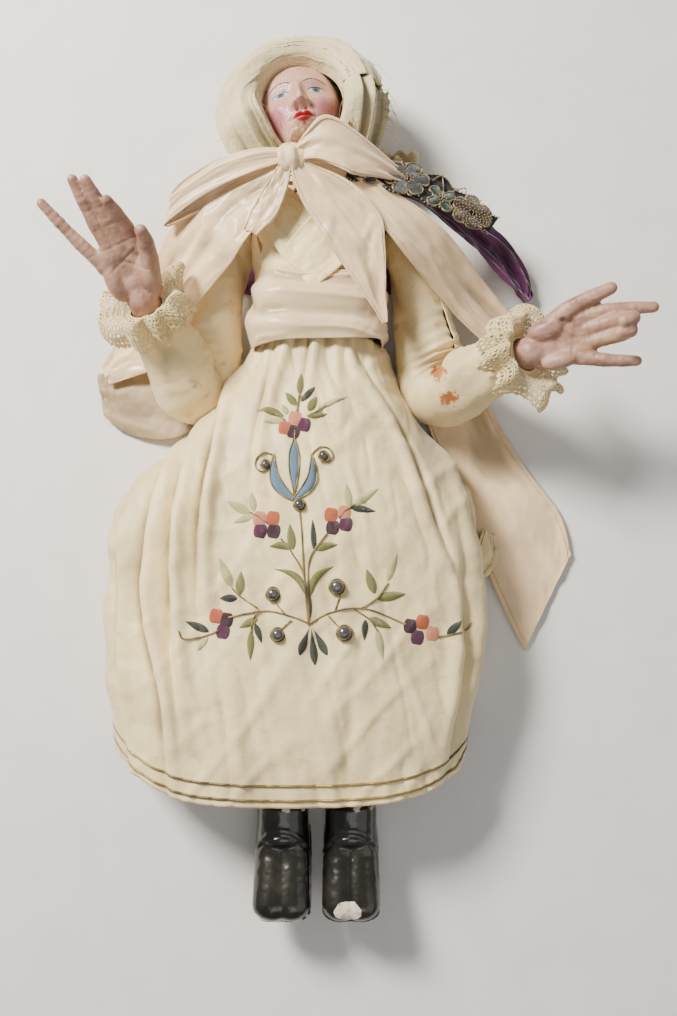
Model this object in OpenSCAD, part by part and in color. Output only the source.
// Dressed rod puppet lying on its back: carved wood head, hands and boots on a jointed
// wooden frame, in a silk skirt, bodice, cape, ribbon bow, lace cuffs and headscarf.

/* [Which piece] */
// name of the one piece to build, or all

/* [Torso] */
// half width of the carved chest at the shoulders
chest_half_w = 40; // [34:1:42]
// width of the chest from back to front
chest_deep = 46; // [40:1:48]
// half width of the hip block
hip_half_w = 30; // [26:1:30]
// radius of the turning dowel that carries the head
dowel_r = 7; // [6:0.5:8]
// radius of the hole in the dowel's lower end that takes a control rod
socket_r = 3.5; // [2.5:0.5:3.5]
// depth of that hole
socket_deep = 25; // [15:1:40]

/* [Head] */
// how far the face is tipped back from straight up, degrees
head_tip = 15; // [8:1:16]
// how far the crown leans to one side, degrees
head_lean = 10; // [0:1:12]
// half width of the skull
skull_half_w = 30; // [26:1:31]
// half width of the puffed headscarf
scarf_half_w = 57; // [50:1:60]

/* [Arms] */
// shoulder to elbow
upper_arm_len = 111; // [105:1:112]
// elbow to wrist
forearm_len = 81; // [76:1:84]
// bend of the elbow on the side of the raised hand, degrees
elbow_bend_right = 124; // [100:1:126]
// bend of the elbow on the side of the open hand, degrees
elbow_bend_left = 95; // [80:1:110]
// radius of the padded sleeve
sleeve_r = 17; // [14:1:18]
// radius of the wooden arm rods
arm_r = 6; // [4:0.5:6]

/* [Legs] */
// hip to knee
thigh_len = 135; // [125:1:138]
// knee to ankle
shin_len = 139; // [130:1:140]
// radius of the wooden legs
leg_r = 11; // [8:1:11]
// upward pitch of the boots from flat, degrees
toe_up = 25; // [15:1:30]
// half width of a boot toe
toe_r = 18; // [14:0.5:18.4]

/* [Skirt] */
// height of the skirt front above the table at the hem
hem_h = 68; // [62:1:74]
// thickness of the gathered cloth with its lining
cloth_t = 3.5; // [2.5:0.5:4]

/* [Hidden] */

// the puppet is set so that the origin is under the middle of its outer box
lay_x = -20.4;
lay_y = -28.4;
// running clearance of every pin in its hole
run = 0.05;
// radius of the elbow, knee and ankle pins
pin_r = 2;
// radius of the shoulder pegs and wrist pegs
peg_r = 4;
// radius of the axle through the hips
axle_r = 3;
// height of the dowel and the nod pin above the table
dowel_z = 52;
// where the nod pin crosses the neck
nod_y = 222;
// underside of the chest above the table
chest_z = 20;
// shoulder centre
sh_x = 60;
sh_y = 188;
sh_z = 40;
// hip centre
hip_x = 22;
hip_y = 62;
hip_z = 38;
// slope of the lying legs
leg_slope = 2.4;
knee_y = hip_y - thigh_len * cos(leg_slope);
knee_z = hip_z - thigh_len * sin(leg_slope);
ankle_y = knee_y - shin_len * cos(leg_slope);
ankle_z = knee_z - shin_len * sin(leg_slope);
// directions of the arm frames at rest
upper_right_dir = [-97.4, 33.1, 164.5];
upper_left_dir = [-98.5, -43, -162.7];
hand_right_dir = [-56.1, -3.9, 25.9];
hand_left_dir = [67.2, -9.1, 104.7];
// where the wrists come at rest
wrist_right = [-110.3, 125.4, 88.7];
wrist_left = [136.1, 91.5, 87.1];
// most and least bend the elbows allow
elbow_max = 134;
elbow_min = 50;
// gap kept between cloth on pieces that move apart
cloth_gap = 0.8;
// thickness of flat cloth lying on the table
flat_t = 2.6;
$fn = 48;

cream = "#e8dcbb";
satin = "#e6d3b4";
purple = "#5b2a63";
wood = "#b08a5b";
skin = "#b98475";
black = "#1a1a17";
gold = "#8a7338";
pearl = "#6a6a66";
green = "#2c4a33";
lace = "#ddcda0";
straw = "#b39257";

module lay() translate([lay_x, lay_y, 0]) children();
// frame of each limb: +Z runs down the limb and X is its hinge
module upper(s) translate([s * sh_x, sh_y, sh_z]) rotate(s < 0 ? upper_right_dir : upper_left_dir) children();
module fore(s) upper(s) translate([0, 0, upper_arm_len])
  rotate([s < 0 ? elbow_bend_right : elbow_bend_left, 0, 0]) children();
module wrist(s) fore(s) translate([0, 0, forearm_len]) children();
module hip(s) translate([s * hip_x, hip_y, hip_z]) rotate([90 + leg_slope, 0, 0]) children();
module knee(s) hip(s) translate([0, 0, thigh_len]) children();
module ankle(s) translate([s * hip_x, ankle_y, ankle_z]) rotate([90 - toe_up, 0, 0]) children();
module head() translate([0, nod_y, dowel_z]) rotate([-head_tip, 0, head_lean]) children();
module xcyl(r, x0, x1) translate([x0, 0, 0]) rotate([0, 90, 0]) cylinder(r = r, h = x1 - x0);
// thin plate of cloth between three corners
module tri(a, b, c, t = 1.2) hull() for (p = [a, b, c]) translate(p) sphere(r = t, $fn = 14);
module flat(points, z = 0, t = flat_t) translate([0, 0, z]) linear_extrude(t) polygon(points);
// half of space on the +Y side of a plane turned about the hinge
module side_of(a) rotate([a, 0, 0]) translate([-80, cloth_gap, -160]) cube([160, 160, 320]);

// ---- torso ----
module chest_block() color(wood) lay() difference() {
  translate([0, 0, chest_z]) intersection() {
    linear_extrude(chest_deep) polygon([[-30, 112], [30, 112], [34, 150], [chest_half_w, 176],
      [chest_half_w - 2, 198], [18, 208], [-18, 208], [2 - chest_half_w, 198], [-chest_half_w, 176], [-34, 150]]);
    translate([-60, 0, 0]) rotate([90, 0, 90]) linear_extrude(120)
      polygon([[112, 4], [150, 0], [208, 6], [208, chest_deep - 8], [170, chest_deep], [112, chest_deep - 8]]);
  }
  translate([0, 100, dowel_z]) rotate([-90, 0, 0]) cylinder(r = dowel_r + run, h = 120);
  for (s = [-1, 1]) translate([0, sh_y, sh_z]) xcyl(peg_r, s > 0 ? 18 : -60, s > 0 ? 60 : -18);
}
module hip_block() color(wood) lay() difference() {
  translate([0, 0, 22]) linear_extrude(38) polygon([[-hip_half_w, 76], [-hip_half_w + 8, 108], [hip_half_w - 8, 108],
    [hip_half_w, 76], [15.5, 76], [15.5, 48], [-15.5, 48], [-15.5, 76]]);
  translate([0, 40, dowel_z]) rotate([-90, 0, 0]) cylinder(r = dowel_r + run, h = 80);
  translate([0, hip_y, hip_z]) xcyl(axle_r, -30, 30);
}
module control_dowel() color(wood) lay() translate([0, 0, dowel_z]) difference() {
  union() {
    translate([0, 40, 0]) rotate([-90, 0, 0]) cylinder(r = dowel_r, h = 172);
    // flat tongue that the head nods on
    intersection() {
      translate([-4, 208.5, -8]) cube([8, 24, 16]);
      union() {
        translate([0, nod_y, 0]) xcyl(6.5, -10, 10);
        translate([-10, 200, -6]) cube([20, nod_y - 200, 12]);
      }
    }
  }
  translate([0, 39, 0]) rotate([-90, 0, 0]) cylinder(r = socket_r, h = socket_deep + 1);
  translate([0, nod_y, 0]) xcyl(pin_r + run, -10, 10);
}
module shoulder_pegs() color(wood) lay() for (s = [-1, 1]) translate([0, sh_y, sh_z])
  xcyl(peg_r, s > 0 ? 20 : -sh_x - 7, s > 0 ? sh_x + 7 : -20);
module hip_axle() color(wood) lay() translate([0, hip_y, hip_z]) xcyl(axle_r, -30, 30);

// ---- head ----
module skull(g = 0) {
  hull() {
    translate([0, 58, -2]) scale([1, 1.12, 1.06]) sphere(r = skull_half_w + g, $fn = 32);
    translate([0, 26, 12]) sphere(r = 17 + g, $fn = 32);
    translate([0, 22, 20]) sphere(r = 9 + g, $fn = 32);
  }
}
module head_block() color(skin) lay() difference() {
  union() {
    head() skull();
    head() hull() {
      translate([0, 50, 29]) sphere(r = 2.5, $fn = 20);
      translate([0, 40, 34]) sphere(r = 3.5, $fn = 20);
      translate([0, 38, 28]) sphere(r = 5, $fn = 20);
    }
    // neck with its socket for the nodding tongue
    translate([0, nod_y - 6, dowel_z]) rotate([-90, 0, head_lean]) cylinder(r = 14, h = 30);
  }
  translate([-4.4, nod_y - 20, dowel_z - 9]) cube([8.8, 29, 18]);
  translate([0, nod_y - 1, dowel_z]) rotate([90, 0, 0]) cylinder(r = dowel_r + 3, h = 30);
  translate([0, nod_y, dowel_z]) xcyl(pin_r, -11, 11);
}
module nod_pin() color("silver") lay() translate([0, nod_y, dowel_z]) xcyl(pin_r, -10.5, 10.5);
module scarf_body() hull() {
  translate([0, 52, 1]) scale([1, 0.9, 0.68]) sphere(r = scarf_half_w, $fn = 36);
  translate([0, 70, 4]) scale([1, 0.88, 0.8]) sphere(r = 47, $fn = 36);
}
module headscarf() color(cream) lay() difference() {
  intersection() {
    head() scarf_body();
    translate([-100, 206, 0.3]) cube([200, 200, 100]);
  }
  head() skull(1);
  // opening of the face and the throat
  head() hull() {
    translate([0, 60, 30]) cylinder(r = 27, h = 40, $fn = 32);
    translate([0, 24, 16]) cylinder(r = 19, h = 60, $fn = 32);
  }
  translate([0, 190, dowel_z]) rotate([-90, 0, head_lean]) cylinder(r = 26, h = 50);
  head() translate([26, 47, 28]) sphere(r = 7.5);
}
module hair() color(straw) lay() head() intersection() {
  translate([26, 47, 28]) sphere(r = 6.5);
  difference() {
    translate([10, 20, 10]) cube([40, 60, 40]);
    skull(0.8);
  }
}
module scarf_tail() color(cream) lay() translate([56, 246, 20]) scale([1.1, 1, 0.95]) sphere(r = 12, $fn = 20);

// ---- bodice and sash ----
module torso_out(g) offset(delta = g) polygon([[-30, 112], [30, 112], [34, 150], [chest_half_w, 176],
  [chest_half_w - 2, 198], [18, 208], [-18, 208], [2 - chest_half_w, 198], [-chest_half_w, 176], [-34, 150]]);
module bodice() color(cream) lay() difference() {
  translate([0, 0, chest_z - 6]) linear_extrude(chest_deep + 10.5) intersection() {
    torso_out(5);
    translate([-60, 132]) square([120, 76]);
  }
  translate([0, 0, chest_z - 1]) linear_extrude(chest_deep + 2) torso_out(0.6);
  translate([0, sh_y, sh_z]) xcyl(peg_r + 1, -60, 60);
  translate([0, 190, dowel_z]) rotate([-90, 0, 0]) cylinder(r = dowel_r + 1, h = 40);
}
module waist_sash() color(satin) lay() difference() {
  translate([0, 0, chest_z - 8]) linear_extrude(chest_deep + 14) polygon([[-38, 113], [38, 113], [40, 131.5], [-40, 131.5]]);
  translate([0, 0, chest_z - 1]) linear_extrude(chest_deep + 2) torso_out(0.6);
}

// ---- skirt ----
// arch of cloth over the legs: left edge a, right edge b, height h, n steps
function arch(a, b, h, n = 16) = [for (i = [0 : n]) let (t = 180 * i / n)
  [(a + b) / 2 - (b - a) / 2 * sign(cos(t)) * pow(abs(cos(t)), 0.8), h * pow(sin(t), 0.6)]];
module station(y, a, b, h, low) translate([0, y, low]) rotate([90, 0, 0]) linear_extrude(0.4)
  polygon(concat([[a, -6]], arch(a, b, h), [[b, -6]]));
module skirt_solid(g, low) {
  hull() {
    station(112, -46 + g, 46 - g, 70 - g, low);
    station(-10, -131 + g, 100 - g, 72 - g, low);
  }
  hull() {
    station(-10, -131 + g, 100 - g, 72 - g, low);
    station(-120, -141 + g, 107 - g, 70 - g, low);
  }
  hull() {
    station(-120, -141 + g, 107 - g, 70 - g, low);
    station(-188, -118 + g, 88 - g, hem_h - g, low);
  }
}
module skirt_front() color(cream) lay() difference() {
  intersection() {
    skirt_solid(0, 3.2);
    translate([-200, -186, 3.2]) cube([400, 300, 100]);
  }
  intersection() {
    skirt_solid(cloth_t, 3.2);
    translate([-200, -190, 0]) cube([400, 298, 100]);
  }
  translate([-28, 100, 18]) cube([56, 20, 52]);
}
module skirt_back() color(cream) lay() flat([[-34, 109], [34, 109], [60, 70], [68, -38], [-112, -38], [-60, 70]]);
module hem_cord(y, a, b, h) translate([0, 0, 3.2]) intersection() {
  difference() {
    translate([0, y, 0]) rotate([90, 0, 0]) linear_extrude(1.6) polygon(concat([[a - 1.6, 0]], arch(a - 1.6, b + 1.6, h + 1.6), [[b + 1.6, 0]]));
    translate([0, y + 1, 0]) rotate([90, 0, 0]) linear_extrude(4) polygon(concat([[a, -5]], arch(a, b, h), [[b, -5]]));
  }
  translate([-200, -200, 0.5]) cube([400, 400, 100]);
}
module hem_cord_upper() color(gold) lay() hem_cord(-173, -123.4, 92.6, 69);
module hem_cord_lower() color(gold) lay() hem_cord(-182, -120.3, 90.2, 69);
// height of the skirt's top above the table near its middle
function skirt_top(x) = 3.2 + 71 * pow(sqrt(1 - pow(abs((x + 17) / 120), 2.5)), 0.6);
module skirt_beads() color(pearl) lay() for (p = [[-32, -72], [11, -68], [-29, -100], [15, -99]])
  translate([p[0], p[1], skirt_top(p[0]) + 5.2]) sphere(r = 4.4, $fn = 20);

// ---- cape, tails and bow ----
module cape_back() color(purple) lay() flat([[-36, 118], [-100, 132], [-104, 186], [-40, 206], [40, 206], [96, 200],
  [100, 132], [36, 118]]);
module sash_tail_left() color(satin) lay() flat([[-154, 126], [-104, 120], [-66, 112], [-75, 52], [-154, 50]]);
module sash_tail_right() color(satin) lay() flat([[72, 112], [108, 116], [128, 60], [174, -29], [142, -95], [106, -48], [72, 10]]);
module cape_silk_left() color(purple) lay() {
  tri([52, 214, 60], [96, 222, 30], [70, 200, 50]);
  tri([70, 200, 50], [96, 222, 30], [120, 204, 20]);
  tri([70, 200, 50], [120, 204, 20], [112, 176, 22]);
  tri([112, 176, 22], [120, 204, 20], [150, 154, 10]);
}
module cape_facing_left() color(satin) lay() {
  tri([12, 211, 78], [46, 198, 74], [44, 184, 74]);
  tri([46, 198, 74], [44, 184, 74], [78, 158, 66]);
  tri([46, 198, 74], [78, 158, 66], [90, 182, 58]);
  tri([78, 158, 66], [90, 182, 58], [124, 146, 46]);
  tri([78, 158, 66], [124, 146, 46], [100, 134, 58]);
}
module cape_facing_right() color(satin) lay() {
  tri([-12, 213, 82], [-46, 208, 75], [-44, 168, 75]);
  tri([-46, 208, 75], [-44, 168, 75], [-92, 184, 60]);
  tri([-44, 168, 75], [-92, 184, 60], [-86, 128, 66]);
  tri([-92, 184, 60], [-86, 128, 66], [-112, 150, 52]);
}
module embroidered_border() color(green) lay() {
  tri([26, 216, 74], [70, 226, 50], [50, 206, 72]);
  tri([70, 226, 50], [50, 206, 72], [112, 194, 48]);
  tri([70, 226, 50], [112, 194, 48], [120, 210, 30]);
}
module bow_knot() color(satin) lay() translate([-17, 220, 89]) scale([1.3, 1, 0.8]) sphere(r = 7, $fn = 20);
module bow_loop_left() color(satin) lay() {
  tri([-28, 221, 88], [-58, 222, 80], [-56, 198, 82], 2.4);
  tri([-58, 222, 80], [-56, 198, 82], [-98, 200, 72], 2.4);
  tri([-56, 198, 82], [-98, 200, 72], [-88, 184, 74], 2.4);
}
module bow_loop_right() color(satin) lay() {
  tri([-6, 223, 92], [10, 242, 98], [14, 220, 93], 2.4);
  tri([10, 242, 98], [14, 220, 93], [40, 222, 84], 2.4);
}
module bow_tail_left() color(satin) lay() tri([-20, 209, 89], [-40, 168, 80], [-20, 166, 80]);
module bow_tail_right() color(satin) lay() {
  tri([-12, 209, 89], [14, 140, 80], [40, 160, 80]);
  tri([14, 140, 80], [40, 160, 80], [52, 106, 80]);
}

// ---- arms, s = -1 for the raised right hand and 1 for the open left hand ----
module upper_arm(s) color(wood) lay() difference() {
  union() {
    translate([0, sh_y, sh_z]) xcyl(11, s > 0 ? sh_x - 6 : -sh_x - 6, s > 0 ? sh_x + 6 : 6 - sh_x);
    upper(s) cylinder(r = arm_r, h = upper_arm_len - 16);
    upper(s) for (e = [-1, 1]) {
      translate([e > 0 ? 4.2 : -8, -5, upper_arm_len - 18]) cube([3.8, 10, 18]);
      translate([0, 0, upper_arm_len]) xcyl(7, e > 0 ? 4.2 : -8, e > 0 ? 8 : -4.2);
    }
    upper(s) translate([-8, -5, upper_arm_len - 20]) cube([16, 10, 4]);
  }
  translate([0, sh_y, sh_z]) xcyl(peg_r + run, -90, 90);
  upper(s) translate([0, 0, upper_arm_len]) xcyl(pin_r, -9, 9);
}
module elbow_pin(s) color("silver") lay() upper(s) translate([0, 0, upper_arm_len]) xcyl(pin_r, -8.5, 8.5);
module forearm(s) color(wood) lay() fore(s) difference() {
  union() {
    xcyl(6.5, -4, 4);
    translate([-4, -5, 0]) cube([8, 10, 20]);
    translate([0, 0, 16]) cylinder(r = arm_r, h = forearm_len - 28);
    translate([0, 0, forearm_len - 24]) cylinder(r = 9, h = 22);
  }
  xcyl(pin_r + run, -9, 9);
  translate([0, 0, forearm_len - 20]) cylinder(r = peg_r + run, h = 30);
}
module upper_sleeve(s) color(cream) lay() upper(s) difference() {
  translate([0, 0, upper_arm_len]) intersection() {
    translate([0, 0, -upper_arm_len + 17]) cylinder(r1 = sleeve_r - 2, r2 = sleeve_r, h = upper_arm_len - 10);
    side_of(-(180 - elbow_max) / 2);
    side_of(-(180 - elbow_min) / 2);
  }
  cylinder(r = arm_r + 0.6, h = upper_arm_len - 15);
  translate([0, 0, upper_arm_len]) sphere(r = 19);
  translate([-8.6, -6, upper_arm_len - 21]) cube([17.2, 12, 22]);
}
module lower_sleeve(s) color(cream) lay() fore(s) difference() {
  intersection() {
    translate([0, 0, -7]) cylinder(r1 = sleeve_r, r2 = sleeve_r - 3, h = forearm_len - 1);
    side_of((180 - elbow_max) / 2);
    side_of((180 - elbow_min) / 2);
  }
  cylinder(r = arm_r + 0.6, h = forearm_len);
  translate([0, 0, forearm_len - 24.6]) cylinder(r = 9.6, h = 40);
  sphere(r = 19);
}
module lace_cuff(s) color(lace) lay() fore(s) translate([0, 0, forearm_len - 6.5]) difference() {
  cylinder(r1 = 17, r2 = 27, h = 16);
  translate([0, 0, -0.1]) cylinder(r1 = 15.4, r2 = 25.6, h = 16.2);
}
module wrist_peg(s) color(wood) lay() wrist(s) translate([0, 0, -18]) cylinder(r = peg_r, h = 26);
// one finger: root, knuckle, joint and tip
module finger(p, r) for (i = [0 : len(p) - 2]) hull() {
  translate(p[i]) sphere(r = r - 0.4 * i, $fn = 14);
  translate(p[i + 1]) sphere(r = r - 0.4 * (i + 1), $fn = 14);
}
module hand_shape() {
  hull() {
    translate([0, 0, 2]) sphere(r = 9, $fn = 18);
    translate([11, 0, 36]) sphere(r = 6, $fn = 18);
    translate([-12, 0, 32]) sphere(r = 5.5, $fn = 18);
    translate([11, -1, 14]) sphere(r = 6.5, $fn = 18);
    translate([-9, -1, 12]) sphere(r = 6.5, $fn = 18);
  }
  finger([[12, 0, 14], [22, -5, 30], [26, -8, 44]], 5.8);
  finger([[12, 0, 36], [14, -2, 53], [15, -9, 66]], 4.9);
  finger([[4, 0, 38], [4, -5, 58], [3, -15, 68]], 4.9);
  finger([[-4, 0, 37], [-4, -6, 55], [-3, -15, 65]], 4.8);
  finger([[-12, 0, 32], [-18, -1, 47], [-22, -3, 58]], 4.4);
}
function wrist_pos(s) = s < 0 ? wrist_right : wrist_left;
module hand(s) color(skin) lay() difference() {
  translate(wrist_pos(s)) rotate(s < 0 ? hand_right_dir : hand_left_dir) mirror([0, s < 0 ? 0 : 1, 0]) hand_shape();
  wrist(s) translate([0, 0, -30]) cylinder(r = peg_r + 0.08, h = 38.1);
  wrist(s) translate([0, 0, -31.5]) cylinder(r = 20, h = 30);
}

// ---- legs, s = -1 and 1 for the two sides ----
module ears(z, r, wide, gap, back) for (e = [-1, 1]) {
  translate([e > 0 ? gap : -wide, -r + 2, z - back]) cube([wide - gap, 2 * r - 4, back]);
  translate([0, 0, z]) xcyl(r, e > 0 ? gap : -wide, e > 0 ? wide : -gap);
}
module thigh(s) color(wood) lay() difference() {
  union() {
    hip(s) xcyl(11, s > 0 ? -5.5 : -7.5, s > 0 ? 7.5 : 5.5);
    hip(s) translate([s > 0 ? -5.5 : -7.5, -8, 0]) cube([13, 16, 20]);
    hip(s) translate([0, 0, 18]) cylinder(r = leg_r, h = thigh_len - 32);
    hip(s) ears(thigh_len, 9, 9, 4.2, 15);
  }
  hip(s) xcyl(axle_r + run, -30, 30);
  knee(s) xcyl(pin_r, -12, 12);
}
module knee_pin(s) color("silver") lay() knee(s) xcyl(pin_r, -9, 9);
module shin(s) color("#7d5138") lay() difference() {
  union() {
    knee(s) xcyl(8.5, -4, 4);
    knee(s) translate([-4, -7, 0]) cube([8, 14, 16]);
    knee(s) translate([0, 0, 14]) cylinder(r = leg_r, h = shin_len - 38);
    knee(s) translate([0, 0, shin_len - 26]) cylinder(r1 = leg_r, r2 = 8, h = 8);
    knee(s) translate([-4, -6, shin_len - 20]) cube([8, 12, 20]);
    knee(s) translate([0, 0, shin_len]) xcyl(6, -4, 4);
  }
  knee(s) xcyl(pin_r + run, -12, 12);
  knee(s) translate([0, 0, shin_len]) xcyl(pin_r + run, -12, 12);
}
module ankle_pin(s) color("silver") lay() ankle(s) xcyl(pin_r, -11, 11);
module boot(s) color(black) lay() ankle(s) difference() {
  union() {
    hull() {
      translate([0, -20, -6]) rotate([-90, 0, 0]) cylinder(r = 14, h = 16);
      translate([0, -20, 39]) rotate([-90, 0, 0]) cylinder(r = toe_r, h = 9);
      translate([0, -6, 30]) sphere(r = 12, $fn = 32);
      sphere(r = 15, $fn = 32);
    }
    rotate([toe_up + leg_slope, 0, 0]) translate([0, 0, -20]) cylinder(r = 15.5, h = 22);
  }
  // slot for the leg's tongue, wide enough for the ankle to bend
  rotate([toe_up + leg_slope, 0, 0]) hull() {
    xcyl(8, -4.4, 4.4);
    translate([-4.4, -13, -24]) cube([8.8, 26, 1]);
  }
  rotate([toe_up + leg_slope, 0, 0]) translate([0, 0, -32]) cylinder(r = 13.4, h = 16);
  xcyl(pin_r, -12, 12);
}

chest_block();
hip_block();
control_dowel();
head_block();
nod_pin();
hair();
headscarf();
scarf_tail();
bodice();
waist_sash();
skirt_front();
skirt_back();
hem_cord_upper();
hem_cord_lower();
skirt_beads();
cape_back();
cape_silk_left();
cape_facing_left();
cape_facing_right();
embroidered_border();
sash_tail_left();
sash_tail_right();
bow_knot();
bow_loop_left();
bow_loop_right();
bow_tail_left();
bow_tail_right();
shoulder_pegs();
upper_arm(1);  // upper_arm_left
upper_arm(-1);  // upper_arm_right
upper_sleeve(1);  // upper_sleeve_left
upper_sleeve(-1);  // upper_sleeve_right
elbow_pin(1);  // elbow_pin_left
elbow_pin(-1);  // elbow_pin_right
forearm(1);  // forearm_left
forearm(-1);  // forearm_right
lower_sleeve(1);  // lower_sleeve_left
lower_sleeve(-1);  // lower_sleeve_right
lace_cuff(1);  // lace_cuff_left
lace_cuff(-1);  // lace_cuff_right
wrist_peg(1);  // wrist_peg_left
wrist_peg(-1);  // wrist_peg_right
hand(1);  // hand_left
hand(-1);  // hand_right
hip_axle();
thigh(1);  // thigh_left
thigh(-1);  // thigh_right
knee_pin(1);  // knee_pin_left
knee_pin(-1);  // knee_pin_right
shin(1);  // shin_left
shin(-1);  // shin_right
ankle_pin(1);  // ankle_pin_left
ankle_pin(-1);  // ankle_pin_right
boot(1);  // boot_left
boot(-1);  // boot_right
